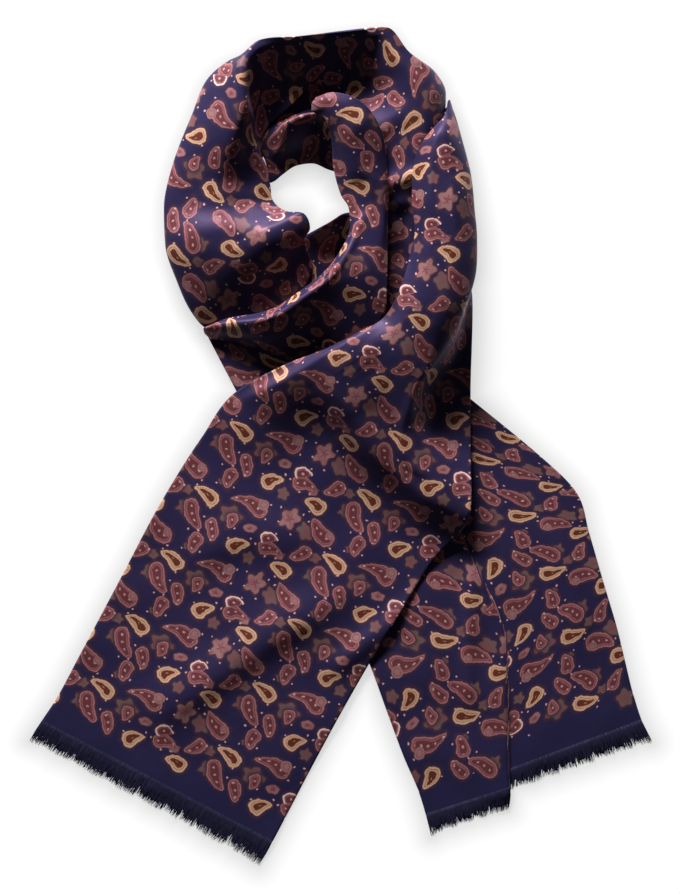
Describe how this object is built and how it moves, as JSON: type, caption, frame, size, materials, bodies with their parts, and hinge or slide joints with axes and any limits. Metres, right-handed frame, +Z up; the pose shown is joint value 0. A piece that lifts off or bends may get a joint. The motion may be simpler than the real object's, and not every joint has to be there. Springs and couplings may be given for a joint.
{
  "type": "silk scarf",
  "caption": "Long fringed silk scarf in a small paisley print, laid flat, wound twice into a loose ring with its tails crossing below.",
  "frame": {"origin": "bottom centre of the bounding box, on the surface that the scarf lies on", "axes": "+Y from the fringed tails to the back of the ring, +Z up from the surface, +X to the right seen from above"},
  "size_m": [0.6227, 0.8322, 0.055],
  "materials": {
    "printed_silk": "satin silk twill with a small paisley print on navy",
    "plain_border": "plain navy satin silk",
    "fringe": "fine dark navy silk fringe",
    "inner_silk": "layers of the same silk hidden inside the ring"
  },
  "bodies": {
    "root": {"front_fringe": "fringe", "front_border": "plain_border", "front_tail": "printed_silk", "right_outer": "printed_silk", "back_right": "printed_silk", "back": "printed_silk", "left_band": "printed_silk", "swirl_front": "printed_silk", "swirl_right": "printed_silk", "inner_back": "printed_silk", "inner_front": "printed_silk", "rear_tail": "printed_silk", "rear_border": "plain_border", "rear_fringe": "fringe", "hidden_layers": "inner_silk"}
  },
  "joints": []
}
